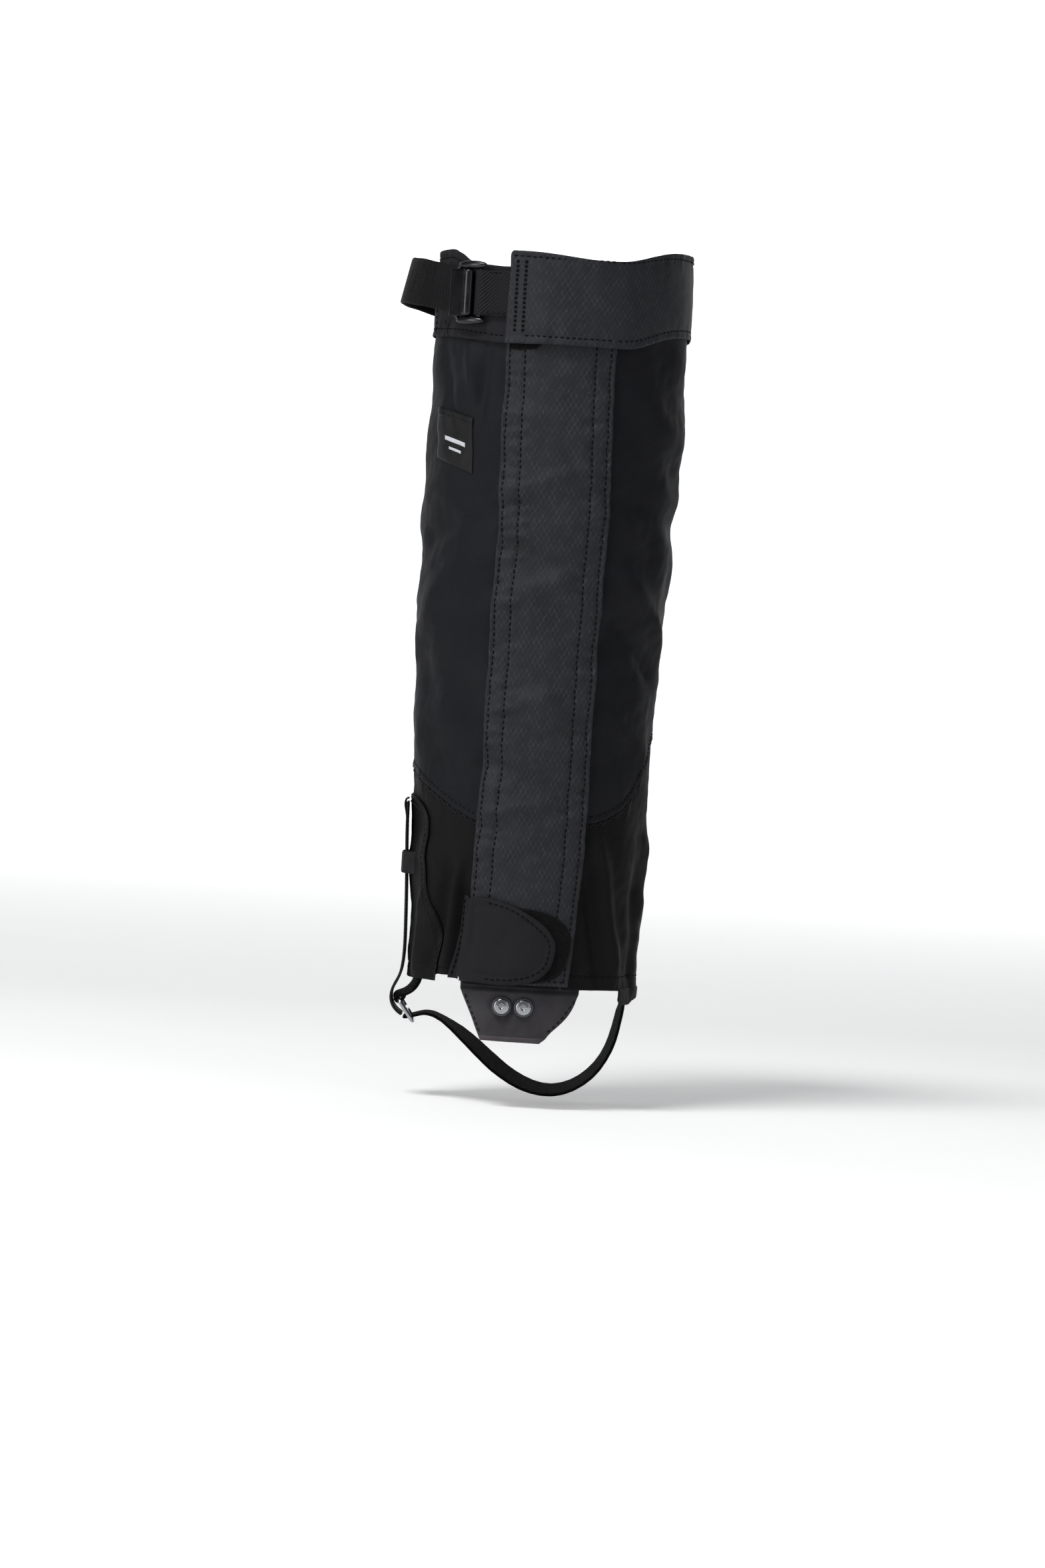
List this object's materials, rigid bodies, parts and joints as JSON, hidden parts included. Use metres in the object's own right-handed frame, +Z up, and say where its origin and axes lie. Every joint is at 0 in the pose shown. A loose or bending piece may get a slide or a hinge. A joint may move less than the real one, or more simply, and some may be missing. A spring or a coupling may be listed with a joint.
{
  "type": "gaiter",
  "caption": "Knee-high front-closing gaiter: oval cloth tube with a storm flap, collar strap and buckle, lace hook tab with rivets and a webbing instep strap",
  "frame": {"origin": "centre of the boot opening, in the plane of the hem", "axes": "+Z up the leg, -Y to the wearer's front, -X to the outer side of the right leg"},
  "size_m": [0.1564, 0.1295, 0.4567],
  "materials": {
    "shell_cloth": "tightly woven, matt nylon",
    "lower_cloth": "heavier plain weave, matt",
    "ripstop_cloth": "ripstop with a small diamond grid",
    "collar_cloth": "plain weave, doubled",
    "coated_cloth": "smooth coated cloth, satin",
    "hook_tape": "hook tape, matt",
    "loop_tape": "loop pile, fuzzy",
    "webbing": "ribbed nylon webbing",
    "twill": "fine diagonal twill tape",
    "elastic": "ribbed elastic",
    "black_metal": "gloss black enamel",
    "bright_metal": "bright nickel plate",
    "dull_steel": "dull zinc plate",
    "label_satin": "woven satin with a plain pale stripe"
  },
  "bodies": {
    "root": {"upper_left_panel": "shell_cloth", "upper_right_panel": "shell_cloth", "lower_left_panel": "lower_cloth", "lower_right_panel": "lower_cloth", "hem_binding": "webbing", "collar_left_band": "collar_cloth", "collar_right_band": "ripstop_cloth", "ankle_patch": "coated_cloth", "woven_label": "label_satin", "front_loop_tape": "loop_tape", "flap_sewn_edge": "ripstop_cloth", "closure_tab_base": "collar_cloth", "upper_webbing": "webbing", "strap_tail": "webbing", "buckle_anchor_loop": "webbing", "tail_keeper": "elastic", "strap_corner_tab": "webbing"},
    "storm_flap": {"storm_flap": "ripstop_cloth", "flap_hook_tape": "hook_tape", "closure_loop_patch": "loop_tape", "collar_loop_patch": "loop_tape"},
    "collar_flap": {"collar_flap": "ripstop_cloth", "collar_hook_patch": "hook_tape", "collar_twill_strap": "twill"},
    "upper_buckle": {"upper_buckle_frame": "black_metal"},
    "upper_slide_bar": {"upper_buckle_slide_bar": "black_metal"},
    "closure_tab": {"closure_tab": "collar_cloth", "closure_tab_hook": "hook_tape"},
    "lace_tab": {"lace_hook_tab": "coated_cloth", "lace_hook": "dull_steel", "hook_rivets": "bright_metal", "rivet_washers": "dull_steel"},
    "instep_strap": {"instep_strap": "webbing", "lower_buckle_frame": "bright_metal"},
    "lower_slide_bar": {"lower_buckle_slide_bar": "bright_metal"}
  },
  "joints": [
    {"name": "storm_flap_hinge", "type": "hinge", "parent": "root", "child": "storm_flap", "pos_m": [0.02715, -0.0576, 0], "axis": [0, -0.0102, 0.9999], "range_deg": [0, 110], "deforming": ["upper_webbing", "closure_tab", "closure_tab_hook"]},
    {"name": "collar_flap_hinge", "type": "hinge", "parent": "storm_flap", "child": "collar_flap", "pos_m": [0.02715, -0.0616, 0.394], "axis": [0, -0.0102, 0.9999], "range_deg": [0, 60], "deforming": ["upper_webbing"]},
    {"name": "upper_buckle_tilt", "type": "hinge", "parent": "collar_flap", "child": "upper_buckle", "pos_m": [-0.0453, -0.05136, 0.37], "axis": [0, 0, 1], "range_deg": [0, 25], "deforming": ["upper_webbing"]},
    {"name": "upper_bar_slide", "type": "slide", "parent": "upper_buckle", "child": "upper_slide_bar", "axis": [0.8174, -0.5761, 0], "range_m": [-0.003, 0], "deforming": ["upper_webbing"]},
    {"name": "closure_tab_hinge", "type": "hinge", "parent": "root", "child": "closure_tab", "pos_m": [-0.0355, -0.0539, 0.0024], "axis": [-0.0707, 0.0614, -0.9956], "range_deg": [0, 130]},
    {"name": "lace_tab_hinge", "type": "hinge", "parent": "root", "child": "lace_tab", "pos_m": [-0.001, -0.0567, -0.0006], "axis": [-1, 0, 0], "range_deg": [0, 70]},
    {"name": "instep_strap_swing", "type": "hinge", "parent": "root", "child": "instep_strap", "pos_m": [0, 0, -0.002], "axis": [1, 0, 0], "range_deg": [-22, 22], "deforming": ["strap_tail", "buckle_anchor_loop"]},
    {"name": "lower_bar_slide", "type": "slide", "parent": "instep_strap", "child": "lower_slide_bar", "axis": [0.5755, 0, -0.8178], "range_m": [-0.0025, 0.001], "deforming": ["strap_tail"]}
  ]
}
